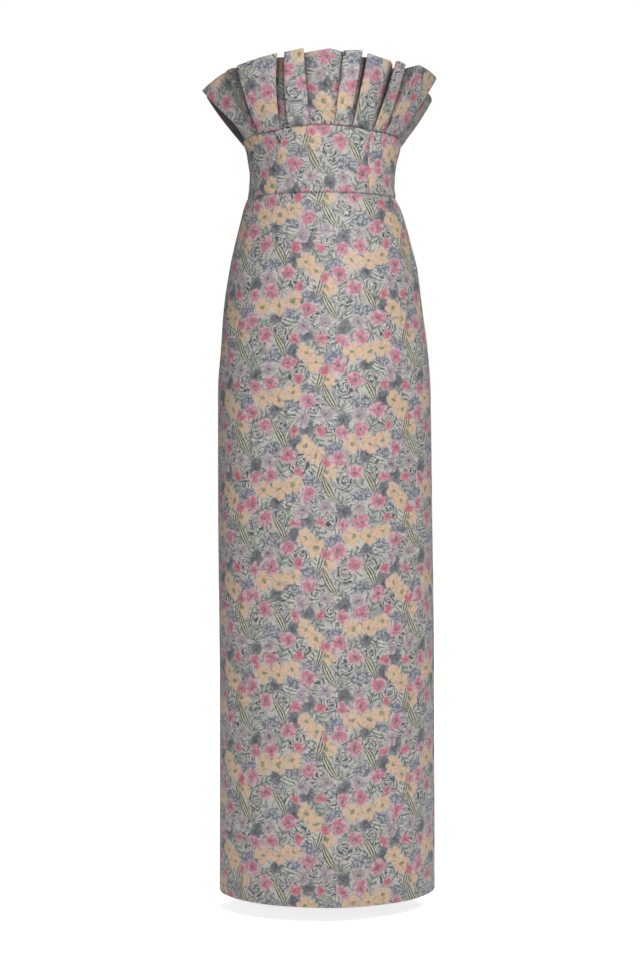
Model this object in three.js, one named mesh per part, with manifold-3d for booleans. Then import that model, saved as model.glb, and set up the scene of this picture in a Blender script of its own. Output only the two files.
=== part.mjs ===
// A strapless floor-length column gown with a standing pleated ruffle, kept hollow as if filled out.
// Millimetres, +Z up, front towards -Y, origin at the centre of the waist seam, which holds it up.
// Every panel is a thin wall on a grid of points; angles run round the figure from the centre front,
// positive towards +X, so 90 is the side on +X and 180 the centre back.
import * as THREE from "three";
import Module from "manifold-3d";

// Cloth and seams
const CLOTH = 1.1;
const MITRE_LIMIT = 0.6;
const SEAM_GAP = 0.3;

// Heights
const HEM_DROP = 1169;
const ZIP_FOOT = -190;

// Angles of the upright seams, in degrees
const SIDE_SEAM = 80;
const CENTRE_BACK = 180;
const PRINCESS_AT_WAIST = 39;
const PRINCESS_AT_TOP = 35;

// Ruffle: half sizes of the ring that its seam and its free edge follow, before the pleats
const RUFFLE_SEAM_RING = { left: 135, right: 134, front: 112, back: 93 };
const RUFFLE_EDGE_RING = { left: 192, right: 184, front: 146, back: 138 };
const SEAM_BEND = 1.4;
const EDGE_BEND = 2.2;
const SOFT_BEND = 8;
const RUFFLE_ROWS = [0, 0.1, 0.28, 0.46, 0.64, 0.82, 1];
const BEND_STEPS = 3;
const PANEL_STEPS = 3;
const FLARE_START = 1.2;

// Pleats of the back: the same knife pleat on both sides of the centre back, facing away from it
const BACK_PLEATS = { count: 6, first: 103, step: 13, overlap: 5, fan: 4 };
const BACK_EDGE = { side: 177, centre: 176, ripple: 2.5, out: 6, in: -8 };

const RAD = Math.PI / 180;

// One object for each row of a short table, with its columns named
const table = (columns, rows) =>
  rows.map((row) => Object.fromEntries(columns.map((name, i) => [name, row[i]])));

// Outer half sizes of the filled-out body, a row for each height
const SECTIONS = table(
  ["height", "left", "right", "front", "back"],
  [
    [112, 133, 132, 112, 93],
    [97, 136, 134, 111, 93],
    [86, 132, 131, 110, 93],
    [76, 129, 129, 108, 92],
    [62, 127, 125, 106, 92],
    [40, 124, 122, 102, 92],
    [20, 125, 121, 99, 94],
    [0, 128, 123.5, 97, 97],
    [-16, 134, 131, 99, 101],
    [-36, 139, 138, 102, 106],
    [-84, 151, 151, 109, 119],
    [-118, 158, 159.5, 114, 127],
    [-185, 168, 168, 122, 137],
    [-253, 173, 177, 128, 140],
    [-321, 178, 182, 132, 140],
    [-525, 178.5, 185, 136, 137],
    [-800, 177, 188.5, 137, 134],
    [-HEM_DROP, 177.5, 189.5, 137, 132],
  ],
);

// Height of the seam between bodice and ruffle, which dips from the front to the sides and back
const TOP_SEAM = table(
  ["angle", "height"],
  [
    [0, 108],
    [20, 106.5],
    [36, 102],
    [60, 99.5],
    [90, 94],
    [130, 90],
    [180, 88],
  ],
);

// Folds of the ruffle's front, in order along the strip. A crest stands out and a valley goes in.
// A ridge and a hollow are their soft kinds. Seam and edge are angles, out is how far the fold stands
// from the edge ring, and top is the height of the free edge there.
const FRONT_FOLDS = table(
  ["kind", "seam", "edge", "out", "top"],
  [
    ["ridge", -91, -93, 5, 174],
    ["valley", -83, -85, -36, 176],
    ["crest", -64, -80, 13, 178],
    ["hollow", -57, -60, -3, 199],
    ["valley", -45, -40, -15, 209],
    ["crest", -50, -44, 9, 203],
    ["crest", -32, -23, 8, 216],
    ["valley", -36, -28, -12, 214],
    ["valley", -18.5, -16, -9, 212],
    ["crest", -24, -18, 5, 218],
    ["crest", -10, -10, 7, 222],
    ["valley", -14, -13, -8, 216],
    ["ridge", 3, 3, 3, 222],
    ["valley", 12, 14, -8, 217],
    ["crest", 8.5, 11, 5, 219.5],
    ["crest", 17.5, 19, 6, 220.5],
    ["valley", 14.5, 17.5, -8, 213],
    ["valley", 25.5, 28, -14, 214],
    ["crest", 21.5, 23, 9, 215],
    ["ridge", 32, 34, 3, 209],
    ["valley", 41.5, 46.5, -30, 205],
    ["crest", 38.5, 40, 7, 209],
    ["crest", 47, 45, 5, 206],
    ["valley", 48.6, 51, -32, 203],
    ["crest", 50.2, 56, 8, 208],
    ["crest", 67, 79, 9, 198],
    ["valley", 63, 74, -12, 180],
    ["ridge", 89, 97, 2, 170],
  ],
);

// Which way each kind of fold bends, its radius at the seam and at the free edge, and how far from
// the seam's own line it is stitched down. An end of the strip doesn't bend.
const FOLD_KINDS = {
  crest: { turn: 1, seamBend: SEAM_BEND, edgeBend: EDGE_BEND, seat: 2 * SEAM_BEND },
  valley: { turn: -1, seamBend: SEAM_BEND, edgeBend: EDGE_BEND, seat: -2 * SEAM_BEND },
  ridge: { turn: 1, seamBend: SOFT_BEND, edgeBend: SOFT_BEND, seat: 1 },
  hollow: { turn: -1, seamBend: SOFT_BEND, edgeBend: SOFT_BEND, seat: -1 },
  end: { turn: 0, seamBend: 0, edgeBend: 0, seat: 0 },
};

const mix = (a, b, share) => a + (b - a) * share;

// Value of a table's column at a place between its rows, along a smooth curve with no overshoot
function along(rows, key, column, place) {
  const sorted = rows[0][key] < rows[rows.length - 1][key] ? rows : [...rows].reverse();
  const x = sorted.map((row) => row[key]);
  const y = sorted.map((row) => row[column]);
  const last = x.length - 1;
  if (place <= x[0]) return y[0];
  if (place >= x[last]) return y[last];
  const i = x.findIndex((value) => value > place) - 1;
  const rise = (j) => (y[j + 1] - y[j]) / (x[j + 1] - x[j]);
  const slope = (j) => {
    if (j === 0 || j === last) return 0;
    const [before, after] = [rise(j - 1), rise(j)];
    return before * after <= 0 ? 0 : (2 * before * after) / (before + after);
  };
  const h = x[i + 1] - x[i];
  const t = (place - x[i]) / h;
  const ease = t * t * (3 - 2 * t);
  return mix(y[i], y[i + 1], ease) + h * t * (1 - t) * (slope(i) * (1 - t) - slope(i + 1) * t);
}

// Point on a ring at an angle, moved straight out from it by a distance
function ringPoint(ring, angle, out, height) {
  const side = Math.sin(angle * RAD);
  const ahead = Math.cos(angle * RAD);
  const width = side > 0 ? ring.right : ring.left;
  const depth = ahead > 0 ? ring.front : ring.back;
  const facing = new THREE.Vector2(side / width, -ahead / depth).normalize();
  return new THREE.Vector3(
    width * side + out * facing.x,
    -depth * ahead + out * facing.y,
    height,
  );
}

const sectionAt = (height) =>
  Object.fromEntries(
    ["left", "right", "front", "back"].map((column) => [
      column,
      along(SECTIONS, "height", column, height),
    ]),
  );

// Point of the body's wall, a depth inside its outer face
const bodyPoint = (angle, height, inside) =>
  ringPoint(sectionAt(height), angle, -inside, height);

const topSeamAt = (angle) => along(TOP_SEAM, "angle", "height", Math.abs(angle));

// A closed wall of even thickness on a grid of points: rows go up, and columns go round towards +X.
// Its lower rim is cut level, to meet the seam below, and so is its upper rim unless it is free.
function clothWall(grid, thickness, freeTop = false) {
  const rows = grid.length;
  const columns = grid[0].length;
  const at = (i, j) => grid[Math.min(Math.max(i, 0), rows - 1)][Math.min(Math.max(j, 0), columns - 1)];
  const positions = [];
  for (const side of [1, -1]) {
    for (let i = 0; i < rows; i++) {
      for (let j = 0; j < columns; j++) {
        const before = at(i, j).clone().sub(at(i, j - 1));
        const after = at(i, j + 1).clone().sub(at(i, j));
        const round = before.clone().add(after);
        const up = at(i + 1, j).clone().sub(at(i - 1, j));
        const out = round.cross(up);
        if (i === 0 || (i === rows - 1 && !freeTop)) out.z = 0;
        out.normalize();
        const bend = before.length() && after.length() ? before.angleTo(after) : 0;
        const reach = (side * thickness) / 2 / Math.cos(Math.min(bend / 2, MITRE_LIMIT));
        positions.push(...at(i, j).clone().addScaledVector(out, reach).toArray());
      }
    }
  }
  const outer = (i, j) => i * columns + j;
  const inner = (i, j) => rows * columns + outer(i, j);
  const index = [];
  const quad = (a, b, c, d) => index.push(a, b, c, a, c, d);
  for (let i = 0; i < rows - 1; i++) {
    for (let j = 0; j < columns - 1; j++) {
      quad(outer(i, j), outer(i, j + 1), outer(i + 1, j + 1), outer(i + 1, j));
      quad(inner(i, j), inner(i + 1, j), inner(i + 1, j + 1), inner(i, j + 1));
    }
    quad(outer(i, 0), outer(i + 1, 0), inner(i + 1, 0), inner(i, 0));
    const end = columns - 1;
    quad(outer(i, end), inner(i, end), inner(i + 1, end), outer(i + 1, end));
  }
  for (let j = 0; j < columns - 1; j++) {
    const top = rows - 1;
    quad(outer(0, j), inner(0, j), inner(0, j + 1), outer(0, j + 1));
    quad(outer(top, j), outer(top, j + 1), inner(top, j + 1), inner(top, j));
  }
  const geometry = new THREE.BufferGeometry();
  geometry.setAttribute("position", new THREE.Float32BufferAttribute(positions, 3));
  geometry.setIndex(index);
  geometry.computeVertexNormals();
  return geometry;
}

// Degrees round a ring of these half sizes that a short length along it takes
function degreesFor(length, angle, ring) {
  const width = angle > 0 && angle < CENTRE_BACK ? ring.right : ring.left;
  const depth = Math.cos(angle * RAD) > 0 ? ring.front : ring.back;
  const reach = Math.hypot(width * Math.cos(angle * RAD), depth * Math.sin(angle * RAD));
  return length / reach / RAD;
}

// A panel between two upright seams. Each seam is an angle, or an angle at a share of the height.
function panelGrid({ from, to, foot, head, rows, columns, spread = 1 }) {
  const grid = [];
  for (let i = 0; i <= rows; i++) {
    const share = (i / rows) ** spread;
    const row = [];
    const [start, end] = [from(share), to(share)];
    for (let j = 0; j <= columns; j++) {
      let angle = mix(start, end, j / columns);
      const height = mix(foot(angle), head(angle), share);
      const step = degreesFor(SEAM_GAP / 2, angle, sectionAt(height));
      if (j === 0) angle += step;
      if (j === columns) angle -= step;
      row.push(bodyPoint(angle, height, CLOTH / 2));
    }
    grid.push(row);
  }
  return grid;
}

const fixed = (value) => () => value;
const princess = (side) => (share) => side * mix(PRINCESS_AT_WAIST, PRINCESS_AT_TOP, share);

// Bodice panels in order from the centre back, round by the front
const BODICE = table(
  ["name", "from", "to", "columns"],
  [
    ["bodice_back_left", fixed(-CENTRE_BACK), fixed(-SIDE_SEAM), 12],
    ["bodice_side_front_left", fixed(-SIDE_SEAM), princess(-1), 8],
    ["bodice_front_centre", princess(-1), princess(1), 12],
    ["bodice_side_front_right", princess(1), fixed(SIDE_SEAM), 8],
    ["bodice_back_right", fixed(SIDE_SEAM), fixed(CENTRE_BACK), 12],
  ],
);

// The bodice's top edge runs straight from column to column, and the ruffle's foot follows it
const topColumns = BODICE.flatMap(({ from, to, columns }) =>
  Array.from({ length: columns }, (_, j) => mix(from(1), to(1), j / columns)),
).concat(CENTRE_BACK);

function ruffleFootAt(angle) {
  const next = Math.max(1, topColumns.findIndex((column) => column >= angle));
  const [before, after] = [topColumns[next - 1], topColumns[next]];
  const share = (angle - before) / (after - before);
  return mix(topSeamAt(before), topSeamAt(after), share) + SEAM_GAP / 2;
}

function bodicePanel({ from, to, columns }) {
  return panelGrid({
    from,
    to,
    foot: fixed(SEAM_GAP / 2),
    head: (angle) => topSeamAt(angle) - SEAM_GAP / 2,
    rows: 8,
    columns,
  });
}

function skirtPanel(from, to, columns) {
  const grid = panelGrid({
    from: fixed(from),
    to: fixed(to),
    foot: fixed(-SEAM_GAP / 2),
    head: fixed(-HEM_DROP),
    rows: 22,
    columns,
    spread: 1.45,
  });
  return grid.reverse();
}

// Ring that the ruffle follows at a level between its seam, 0, and its free edge, 1
function ruffleRing(level) {
  const flare = level * mix(FLARE_START, 1, level);
  return Object.fromEntries(
    Object.keys(RUFFLE_SEAM_RING).map((key) => [
      key,
      mix(RUFFLE_SEAM_RING[key], RUFFLE_EDGE_RING[key], flare),
    ]),
  );
}

// Lengths along a ring from the centre back, one for each degree
function ringLengths(ring) {
  const lengths = [0];
  for (let degree = -CENTRE_BACK + 1; degree <= CENTRE_BACK; degree++) {
    const step = ringPoint(ring, degree, 0, 0).distanceTo(ringPoint(ring, degree - 1, 0, 0));
    lengths.push(lengths[lengths.length - 1] + step);
  }
  return lengths;
}

function lengthAt(lengths, angle) {
  const place = angle + CENTRE_BACK;
  const i = Math.min(Math.max(Math.floor(place), 0), lengths.length - 2);
  return mix(lengths[i], lengths[i + 1], place - i);
}

function angleAt(lengths, length) {
  const next = lengths.findIndex((value) => value > length);
  const i = next < 1 ? lengths.length - 2 : next - 1;
  return i - CENTRE_BACK + (length - lengths[i]) / (lengths[i + 1] - lengths[i]);
}

// Folds of the back on the +X side, from the side seam to the centre back
function backFolds() {
  const { count, first, step, overlap, fan } = BACK_PLEATS;
  const folds = [];
  for (let k = 0; k < count; k++) {
    const seam = first + step * k;
    const share = (seam - SIDE_SEAM) / (CENTRE_BACK - SIDE_SEAM);
    const edge = seam + fan * (1 - share);
    const top = mix(BACK_EDGE.side, BACK_EDGE.centre, share) + BACK_EDGE.ripple * (k % 2);
    folds.push({
      kind: "valley",
      seam: seam + overlap,
      edge: edge + overlap,
      out: BACK_EDGE.in,
      top: top - BACK_EDGE.ripple,
    });
    folds.push({ kind: "crest", seam, edge, out: BACK_EDGE.out, top });
  }
  return folds;
}

// All folds round the ruffle, from the centre back on the -X side to that on the +X side
function ruffleFolds() {
  const right = backFolds();
  const left = right.map((fold) => ({ ...fold, seam: -fold.seam, edge: -fold.edge })).reverse();
  const end = (angle) => ({
    kind: "end",
    seam: angle,
    edge: angle,
    out: 0,
    top: BACK_EDGE.centre,
  });
  return [end(-CENTRE_BACK), ...left, ...FRONT_FOLDS, ...right, end(CENTRE_BACK)];
}

// Plan of the pleated strip at one level, as a band drawn tight round a small pin at each fold.
// Each station has its length round the ring, its distance out, and the fold or panel it is on.
function pleatPlan(folds, level, lengths) {
  const pins = folds.map((fold) => {
    const { turn, seamBend, edgeBend, seat } = FOLD_KINDS[fold.kind];
    const reach = turn * mix(seamBend, edgeBend, level);
    const length = lengthAt(lengths, mix(fold.seam, fold.edge, level));
    return { at: new THREE.Vector2(length, mix(seat, fold.out, level) - reach), reach, turn };
  });
  const headings = pins.slice(0, -1).map((pin, i) => {
    const run = pins[i + 1].at.clone().sub(pin.at);
    return run.angle() - Math.asin((pin.reach - pins[i + 1].reach) / run.length());
  });
  const beside = (pin, heading) =>
    new THREE.Vector2(-Math.sin(heading), Math.cos(heading)).multiplyScalar(pin.reach).add(pin.at);
  const stations = [];
  pins.forEach((pin, i) => {
    const first = headings[Math.max(i - 1, 0)];
    const last = headings[Math.min(i, headings.length - 1)];
    let sweep = THREE.MathUtils.euclideanModulo(pin.turn * (first - last), 2 * Math.PI);
    if (sweep > 1.5 * Math.PI) sweep -= 2 * Math.PI;
    const steps = pin.turn ? BEND_STEPS : 0;
    for (let k = 0; k <= steps; k++) {
      const heading = first - pin.turn * sweep * (steps ? k / steps : 0);
      stations.push({ at: beside(pin, heading), fold: i, share: 0 });
    }
    if (i < pins.length - 1) {
      const end = beside(pins[i + 1], headings[i]);
      const start = stations[stations.length - 1].at;
      for (let k = 1; k < PANEL_STEPS; k++) {
        const share = k / PANEL_STEPS;
        stations.push({ at: start.clone().lerp(end, share), fold: i, share });
      }
    }
  });
  return stations;
}

// Points of the whole ruffle, a row for each level
function ruffleGrid(folds) {
  const seamLengths = ringLengths(ruffleRing(0));
  const seamPlan = pleatPlan(folds, 0, seamLengths);
  const feet = seamPlan.map(({ at }) => ruffleFootAt(angleAt(seamLengths, at.x)));
  const heads = seamPlan.map(({ fold, share }) =>
    share ? mix(folds[fold].top, folds[fold + 1].top, share) : folds[fold].top,
  );
  return RUFFLE_ROWS.map((level) => {
    const ring = ruffleRing(level);
    const lengths = ringLengths(ring);
    return pleatPlan(folds, level, lengths).map(({ at }, j) =>
      ringPoint(ring, angleAt(lengths, at.x), at.y, mix(feet[j], heads[j], level)),
    );
  });
}

// Columns of the ruffle from one cut to the next, each cut edge drawn back by half a seam gap
function ruffleStrip(grid, first, last) {
  return grid.map((row) => {
    const part = row.slice(first, last + 1).map((point) => point.clone());
    const drawBack = (edge, next) => {
      const along = next.clone().sub(edge).normalize();
      edge.addScaledVector(along, SEAM_GAP / 2);
    };
    drawBack(part[0], part[1]);
    drawBack(part[part.length - 1], part[part.length - 2]);
    return part;
  });
}

// Zip: its tape lies inside the centre-back seam, and its slider outside at the top
const TAPE = { width: 24, thickness: 1 };
const SLIDER = { width: 7, foot: 4.6, length: 11, thickness: 1.8, height: 74 };
const BRIDGE = { width: 2, length: 8, reach: 3.2, wall: 1 };
const TAB = { width: 6, length: 24, thickness: 1, bar: 1.2, slot: 3.4, slotLength: 4.8 };

// The tape follows the heights of the rows of the two panels that it is sewn inside
function zipTape(bodice, skirt) {
  const heights = [...skirt, ...bodice]
    .map((row) => row[row.length - 1].z)
    .filter((height) => height > ZIP_FOOT && height !== -SEAM_GAP / 2);
  const depth = CLOTH + SEAM_GAP + TAPE.thickness / 2;
  const grid = heights.map((height) => {
    const half = degreesFor(TAPE.width / 2, CENTRE_BACK, sectionAt(height));
    return [-1, -0.5, 0, 0.5, 1].map((share) =>
      bodyPoint(CENTRE_BACK + share * half, height, depth),
    );
  });
  return clothWall(grid, TAPE.thickness);
}

const wasm = await Module();
wasm.setup();

const toSolid = (geometry) => {
  const indexed = geometry.index ? geometry : geometry.clone();
  const mesh = new wasm.Mesh({
    numProp: 3,
    vertProperties: new Float32Array(indexed.getAttribute("position").array),
    triVerts: new Uint32Array(
      indexed.index?.array ?? [...Array(indexed.getAttribute("position").count).keys()],
    ),
  });
  mesh.merge();
  return new wasm.Manifold(mesh);
};

const toGeometry = (solid) => {
  const mesh = solid.getMesh();
  const geometry = new THREE.BufferGeometry();
  geometry.setAttribute("position", new THREE.BufferAttribute(mesh.vertProperties, mesh.numProp));
  geometry.setIndex(new THREE.BufferAttribute(mesh.triVerts, 1));
  return geometry;
};

const backAt = (height) => sectionAt(height).back;
const sliderEnds = [-1, 1].map((end) => backAt(SLIDER.height + (end * SLIDER.length) / 2));
const sliderBack = Math.max(...sliderEnds) + SEAM_GAP;
const bridgeHole = BRIDGE.reach - BRIDGE.wall;
const pivotBack = sliderBack + SLIDER.thickness + bridgeHole / 2;

function zipSlider() {
  const half = SLIDER.length / 2;
  const face = new THREE.Shape([
    new THREE.Vector2(-SLIDER.width / 2, half),
    new THREE.Vector2(-SLIDER.width / 2, half / 3),
    new THREE.Vector2(-SLIDER.foot / 2, -half),
    new THREE.Vector2(SLIDER.foot / 2, -half),
    new THREE.Vector2(SLIDER.width / 2, half / 3),
    new THREE.Vector2(SLIDER.width / 2, half),
  ]);
  const plate = new THREE.ExtrudeGeometry(face, { depth: SLIDER.thickness, bevelEnabled: false });
  plate.rotateX(Math.PI / 2).translate(0, SLIDER.thickness, 0);
  const arch = new THREE.Shape();
  const foot = -SLIDER.thickness / 2;
  arch.moveTo(foot, -BRIDGE.length / 2);
  arch.lineTo(BRIDGE.reach, -BRIDGE.length / 2);
  arch.lineTo(BRIDGE.reach, BRIDGE.length / 2);
  arch.lineTo(foot, BRIDGE.length / 2);
  arch.closePath();
  const gap = BRIDGE.length / 2 - BRIDGE.wall;
  const hole = new THREE.Path([
    new THREE.Vector2(0, -gap),
    new THREE.Vector2(0, gap),
    new THREE.Vector2(bridgeHole, gap),
    new THREE.Vector2(bridgeHole, -gap),
  ]);
  arch.holes.push(hole);
  const bridge = new THREE.ExtrudeGeometry(arch, { depth: BRIDGE.width, bevelEnabled: false });
  bridge.translate(0, 0, -BRIDGE.width / 2);
  bridge.applyMatrix4(
    new THREE.Matrix4().makeBasis(
      new THREE.Vector3(0, 1, 0),
      new THREE.Vector3(0, 0, 1),
      new THREE.Vector3(1, 0, 0),
    ),
  );
  bridge.translate(0, SLIDER.thickness, 0);
  const geometry = toGeometry(toSolid(plate).add(toSolid(bridge)));
  return geometry.translate(0, sliderBack, SLIDER.height);
}

function zipPullTab() {
  const top = TAB.bar / 2;
  const foot = top - TAB.length;
  const face = new THREE.Shape();
  face.moveTo(-TAB.width / 2, top);
  face.lineTo(-TAB.width / 2.6, foot + TAB.width / 2);
  face.absarc(0, foot + TAB.width / 2, TAB.width / 2.6, Math.PI, 2 * Math.PI, false);
  face.lineTo(TAB.width / 2, top);
  face.closePath();
  const slotTop = -TAB.bar / 2;
  const slot = new THREE.Path([
    new THREE.Vector2(-TAB.slot / 2, slotTop),
    new THREE.Vector2(TAB.slot / 2, slotTop),
    new THREE.Vector2(TAB.slot / 2, slotTop - TAB.slotLength),
    new THREE.Vector2(-TAB.slot / 2, slotTop - TAB.slotLength),
  ]);
  face.holes.push(slot);
  const plate = new THREE.ExtrudeGeometry(face, {
    depth: TAB.thickness,
    bevelEnabled: false,
    curveSegments: 10,
  });
  plate.rotateX(Math.PI / 2).translate(0, TAB.thickness / 2, 0);
  return toGeometry(toSolid(plate)).translate(0, pivotBack, SLIDER.height);
}

// Plain colours of the cloth and of the zip's metal and tape
const MATERIALS = {
  floral: { color: 0x9c918e, roughness: 0.62, metalness: 0 },
  tape: { color: 0x6f6a72, roughness: 0.85, metalness: 0 },
  metal: { color: 0x77757a, roughness: 0.35, metalness: 0.9 },
};

const gown = new THREE.Group();
gown.name = "gown";

function addPiece(name, geometry, look) {
  const mesh = new THREE.Mesh(geometry, new THREE.MeshStandardMaterial(MATERIALS[look]));
  mesh.name = name;
  gown.add(mesh);
}

const bodicePanels = Object.fromEntries(BODICE.map((row) => [row.name, bodicePanel(row)]));
const skirtPanels = {
  skirt_back_left: skirtPanel(-CENTRE_BACK, -SIDE_SEAM, 14),
  skirt_front: skirtPanel(-SIDE_SEAM, SIDE_SEAM, 24),
  skirt_back_right: skirtPanel(SIDE_SEAM, CENTRE_BACK, 14),
};
for (const [name, grid] of Object.entries({ ...bodicePanels, ...skirtPanels })) {
  addPiece(name, clothWall(grid, CLOTH), "floral");
}

const folds = ruffleFolds();
const ruffle = ruffleGrid(folds);
const stationsPerFold = BEND_STEPS + PANEL_STEPS;
const backColumns = PANEL_STEPS + 2 * BACK_PLEATS.count * stationsPerFold;
const lastColumn = ruffle[0].length - 1;
const rufflePieces = [
  ["ruffle_back_left", 0, backColumns],
  ["ruffle_front", backColumns, lastColumn - backColumns],
  ["ruffle_back_right", lastColumn - backColumns, lastColumn],
];
for (const [name, first, last] of rufflePieces) {
  addPiece(name, clothWall(ruffleStrip(ruffle, first, last), CLOTH, true), "floral");
}

const tape = zipTape(bodicePanels.bodice_back_right, skirtPanels.skirt_back_right);
addPiece("zip_tape", tape, "tape");
addPiece("zip_slider", zipSlider(), "metal");
addPiece("zip_pull_tab", zipPullTab(), "metal");

export default gown;
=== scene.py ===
import bisect
import math

import bpy
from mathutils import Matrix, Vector


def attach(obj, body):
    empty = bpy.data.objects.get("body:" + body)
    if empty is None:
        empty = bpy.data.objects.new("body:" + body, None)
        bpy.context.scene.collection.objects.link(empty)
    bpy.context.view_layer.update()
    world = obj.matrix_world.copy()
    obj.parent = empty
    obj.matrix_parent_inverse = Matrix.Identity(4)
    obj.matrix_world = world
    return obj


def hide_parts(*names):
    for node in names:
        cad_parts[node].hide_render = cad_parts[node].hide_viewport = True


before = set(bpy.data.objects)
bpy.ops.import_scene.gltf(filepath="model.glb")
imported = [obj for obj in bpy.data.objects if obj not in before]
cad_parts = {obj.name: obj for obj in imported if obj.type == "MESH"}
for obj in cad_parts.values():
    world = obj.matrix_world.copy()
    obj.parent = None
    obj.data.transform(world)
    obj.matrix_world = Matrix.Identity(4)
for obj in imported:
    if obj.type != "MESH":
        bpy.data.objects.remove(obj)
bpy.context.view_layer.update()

MM = 0.001
RAD = math.pi / 180

# Cloth, seams and heights, in millimetres
CLOTH = 1.1
SEAM_GAP = 0.3
HEM_DROP = 1169
ZIP_FOOT = -190

# Angles of the upright seams, in degrees
SIDE_SEAM = 80
CENTRE_BACK = 180
PRINCESS_AT_WAIST = 39
PRINCESS_AT_TOP = 35

# Ruffle: half sizes of the ring that its seam and its free edge follow, before the pleats
SIDES = ("left", "right", "front", "back")
RUFFLE_SEAM_RING = dict(zip(SIDES, (135, 134, 112, 93)))
RUFFLE_EDGE_RING = dict(zip(SIDES, (192, 184, 146, 138)))
FLARE_START = 1.2
RUFFLE_LEVELS = 34
BEND_STEPS = 7
PANEL_STEPS = 8


def table(columns, *rows):
    """One record for each row of a short table, with its columns named."""
    return [dict(zip(columns, row)) for row in rows]


# Outer half sizes of the filled-out body, a row for each height
SECTIONS = table(
    ("height", "left", "right", "front", "back"),
    (112, 133, 132, 112, 93),
    (97, 136, 134, 111, 93),
    (86, 132, 131, 110, 93),
    (76, 129, 129, 108, 92),
    (62, 127, 125, 106, 92),
    (40, 124, 122, 102, 92),
    (20, 125, 121, 99, 94),
    (0, 128, 123.5, 97, 97),
    (-16, 134, 131, 99, 101),
    (-36, 139, 138, 102, 106),
    (-84, 151, 151, 109, 119),
    (-118, 158, 159.5, 114, 127),
    (-185, 168, 168, 122, 137),
    (-253, 173, 177, 128, 140),
    (-321, 178, 182, 132, 140),
    (-525, 178.5, 185, 136, 137),
    (-800, 177, 188.5, 137, 134),
    (-HEM_DROP, 177.5, 189.5, 137, 132),
)

# Height of the seam between bodice and ruffle, which dips from the front to the sides and back
TOP_SEAM = table(
    ("angle", "height"),
    (0, 108),
    (20, 106.5),
    (36, 102),
    (60, 99.5),
    (90, 94),
    (130, 90),
    (180, 88),
)

# Folds of the ruffle's front, in order along the strip. A crest stands out and a valley goes in.
# A ridge and a hollow are their soft kinds. Seam and edge are angles, out is how far the fold
# stands from the edge ring, and top is the height of the free edge there. Shade, from 0 to 1, is the
# shade painted into the cloth's colour at the fold, and more than 1 spreads that painted shade over
# the panel beside it.
FRONT_FOLDS = table(
    ("kind", "seam", "edge", "out", "top", "shade"),
    ("ridge", -91, -93, 5, 174, 0.98),
    ("valley", -83, -85, -36, 176, 1),
    ("crest", -64, -80, 13, 178, 0),
    ("hollow", -57, -60, -5, 199, 0.25),
    ("ridge", -53, -51.9, 2.6, 201, 0.3),
    ("ridge", -51.5, -49.5, 3, 201.5, 0.75),
    ("valley", -45, -40, -15, 207, 8),
    ("crest", -50, -44, 9, 203, 0),
    ("crest", -32, -23, 8, 216, 0),
    ("valley", -36, -28, -12, 214, 0),
    ("valley", -18.5, -16, -9, 212, 0),
    ("crest", -24, -18, 5, 218, 0),
    ("crest", -10, -10, 7, 222, 0),
    ("valley", -14, -13, -8, 216, 0),
    ("ridge", 3, 3, 3, 222, 0),
    ("valley", 12, 14, -8, 217, 0.5),
    ("crest", 8.5, 11, 5, 219.5, 0),
    ("crest", 17.5, 19, 6, 220.5, 0),
    ("valley", 14.5, 17.5, -8, 213, 0),
    ("valley", 25.5, 28, -14, 214, 0.9),
    ("crest", 21.5, 23, 9, 215, 0),
    ("ridge", 32, 34, 3, 209, 0.18),
    ("valley", 41.5, 46.5, -30, 205, 0.8),
    ("crest", 38.5, 40, 7, 209, 0.18),
    ("crest", 47, 45, 5, 206, 0.12),
    ("valley", 48.6, 51, -32, 203, 0.95),
    ("crest", 50.2, 56, 8, 208, 0.16),
    ("crest", 67, 79, 9, 198, 0.2),
    ("valley", 63, 74, -12, 180, 0.65),
    ("ridge", 89, 97, 2, 170, 0.2),
)

# Which way each kind of fold bends, its radius at the seam and at the free edge, and how far from
# the seam's own line it is stitched down
FOLD_KINDS = {
    "crest": {"turn": 1, "seam_bend": 1.4, "edge_bend": 2.2, "seat": 2.8},
    "valley": {"turn": -1, "seam_bend": 1.4, "edge_bend": 2.2, "seat": -2.8},
    "ridge": {"turn": 1, "seam_bend": 8, "edge_bend": 8, "seat": 1},
    "hollow": {"turn": -1, "seam_bend": 8, "edge_bend": 8, "seat": -1},
    "end": {"turn": 0, "seam_bend": 0, "edge_bend": 0, "seat": 0},
}

# Pleats of the back: the same knife pleat on both sides of the centre back, facing away from it
BACK_PLEATS = {"count": 6, "first": 103, "step": 13, "overlap": 5, "fan": 4}
BACK_EDGE = {"side": 177, "centre": 176, "ripple": 2.5, "out": 6, "in": -8}


def mix(a, b, share):
    return a + (b - a) * share


def ease(share):
    share = min(max(share, 0), 1)
    return share * share * (3 - 2 * share)


def along(rows, key, column, place):
    """Value of a table's column at a place between its rows, along a smooth curve with no overshoot."""
    ordered = rows if rows[0][key] < rows[-1][key] else rows[::-1]
    x = [row[key] for row in ordered]
    y = [row[column] for row in ordered]
    if place <= x[0]:
        return y[0]
    if place >= x[-1]:
        return y[-1]
    i = bisect.bisect_right(x, place) - 1

    def rise(j):
        return (y[j + 1] - y[j]) / (x[j + 1] - x[j])

    def slope(j):
        if j in (0, len(x) - 1):
            return 0
        before, after = rise(j - 1), rise(j)
        return 0 if before * after <= 0 else 2 * before * after / (before + after)

    h = x[i + 1] - x[i]
    t = (place - x[i]) / h
    bend = h * t * (1 - t) * (slope(i) * (1 - t) - slope(i + 1) * t)
    return mix(y[i], y[i + 1], ease(t)) + bend


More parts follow.
